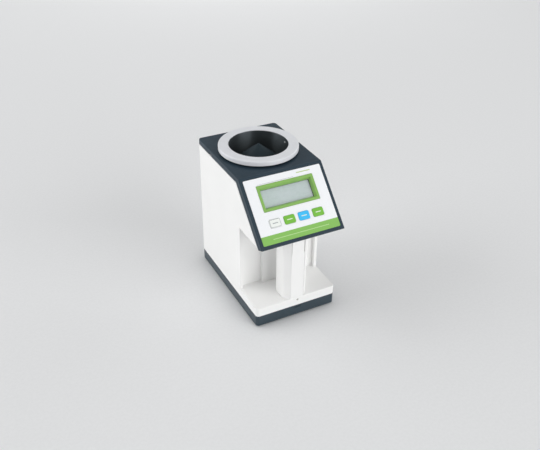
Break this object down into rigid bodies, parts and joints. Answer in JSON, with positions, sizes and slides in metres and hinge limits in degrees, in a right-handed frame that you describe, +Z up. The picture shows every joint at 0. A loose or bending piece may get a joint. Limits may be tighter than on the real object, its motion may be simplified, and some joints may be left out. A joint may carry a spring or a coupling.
{
  "type": "grain moisture meter",
  "caption": "Bench-top grain moisture meter: weighed round measuring cell with cone-topped electrode on top, sloped display panel with keys, lifting grip over a front platform.",
  "frame": {"origin": "on the table under the middle of the bounding box, at the height of the feet's lower faces", "axes": "+Z up, -Y towards the user who reads the sloped panel, +X to that user's right"},
  "size_m": [0.125, 0.2062, 0.2197],
  "materials": {
    "housing_white": "satin moulded ABS, fine texture",
    "cover_dark": "satin dark slate moulded ABS, fine texture",
    "base_dark": "satin dark slate moulded ABS, fine texture",
    "foot_rubber": "matt black rubber",
    "screw_steel": "zinc-plated steel",
    "label_film": "satin printed polyester film",
    "bezel_green": "satin green plastic",
    "key_white": "matt moulded key, white",
    "key_green": "matt moulded key, green",
    "key_blue": "matt moulded key, blue",
    "lens_clear": "clear acrylic window",
    "lcd_grey": "blank grey-green liquid crystal display",
    "board_green": "circuit board with solder mask",
    "part_black": "black moulded component",
    "ring_grey": "satin light grey moulding",
    "electrode_dark": "dark hard-anodised aluminium",
    "insulator_dark": "dark moulded insulator",
    "bare_aluminium": "bare milled aluminium",
    "frame_steel": "zinc-plated sheet steel",
    "contact_brass": "plated spring brass",
    "battery_sleeve": "plain grey sleeve over a metal can",
    "ribbon_grey": "grey flat ribbon cable",
    "holder_black": "black moulded holder"
  },
  "bodies": {
    "body": {"base_tray": "base_dark", "main_housing": "housing_white", "grip_column": "housing_white", "grip_cover": "housing_white", "grip_screw": "screw_steel", "top_cover": "cover_dark", "panel_label": "label_film", "display_bezel": "bezel_green", "display_window": "lens_clear", "display_module": "lcd_grey", "panel_board": "board_green", "load_cell": "bare_aluminium", "load_cell_foot": "bare_aluminium", "inner_frame": "frame_steel", "main_board": "board_green", "processor": "part_black", "buzzer": "part_black", "board_connector": "holder_black", "ribbon_cable": "ribbon_grey", "battery_holder": "holder_black", "contact_plate_left": "contact_brass", "contact_plate_right": "contact_brass", "rating_plate": "bare_aluminium", "foot_1": "foot_rubber", "base_screw_1": "screw_steel", "key_switch_1": "part_black", "battery_1": "battery_sleeve", "contact_spring_1": "screw_steel", "foot_2": "foot_rubber", "base_screw_2": "screw_steel", "key_switch_2": "part_black", "battery_2": "battery_sleeve", "contact_spring_2": "screw_steel", "foot_3": "foot_rubber", "base_screw_3": "screw_steel", "key_switch_3": "part_black", "battery_3": "battery_sleeve", "contact_spring_3": "screw_steel", "foot_4": "foot_rubber", "base_screw_4": "screw_steel", "key_switch_4": "part_black", "battery_4": "battery_sleeve", "contact_spring_4": "screw_steel", "cover_screw_1": "screw_steel", "cover_screw_2": "screw_steel"},
    "cell": {"cell_ring": "ring_grey", "cell_wall": "electrode_dark", "cell_floor": "insulator_dark", "centre_electrode": "electrode_dark", "cone_cap": "electrode_dark", "temperature_probe": "screw_steel", "cell_pin_1": "screw_steel", "cell_pin_2": "screw_steel", "cell_carrier": "bare_aluminium", "cell_spacer": "bare_aluminium"},
    "key_1": {"key_1": "key_white"},
    "key_2": {"key_2": "key_green"},
    "key_3": {"key_3": "key_blue"},
    "key_4": {"key_4": "key_green"},
    "battery_door": {"battery_door": "housing_white"}
  },
  "joints": [
    {"name": "key_1_press", "type": "slide", "parent": "body", "child": "key_1", "axis": [0, 0.7108, -0.7034], "range_m": [0, 0.0007], "stiffness_N_per_m": 500, "springref_m": -0.0006},
    {"name": "key_2_press", "type": "slide", "parent": "body", "child": "key_2", "axis": [0, 0.7108, -0.7034], "range_m": [0, 0.0007], "stiffness_N_per_m": 500, "springref_m": -0.0006},
    {"name": "key_3_press", "type": "slide", "parent": "body", "child": "key_3", "axis": [0, 0.7108, -0.7034], "range_m": [0, 0.0007], "stiffness_N_per_m": 500, "springref_m": -0.0006},
    {"name": "key_4_press", "type": "slide", "parent": "body", "child": "key_4", "axis": [0, 0.7108, -0.7034], "range_m": [0, 0.0007], "stiffness_N_per_m": 500, "springref_m": -0.0006},
    {"name": "cell_float", "type": "slide", "parent": "body", "child": "cell", "axis": [0, 0, -1], "range_m": [0, 0.0004], "stiffness_N_per_m": 12000, "springref_m": -0.0004},
    {"name": "battery_door_hinge", "type": "hinge", "parent": "body", "child": "battery_door", "pos_m": [0, 0.101, 0.0305], "axis": [-1, 0, 0], "range_deg": [0, 90]}
  ]
}
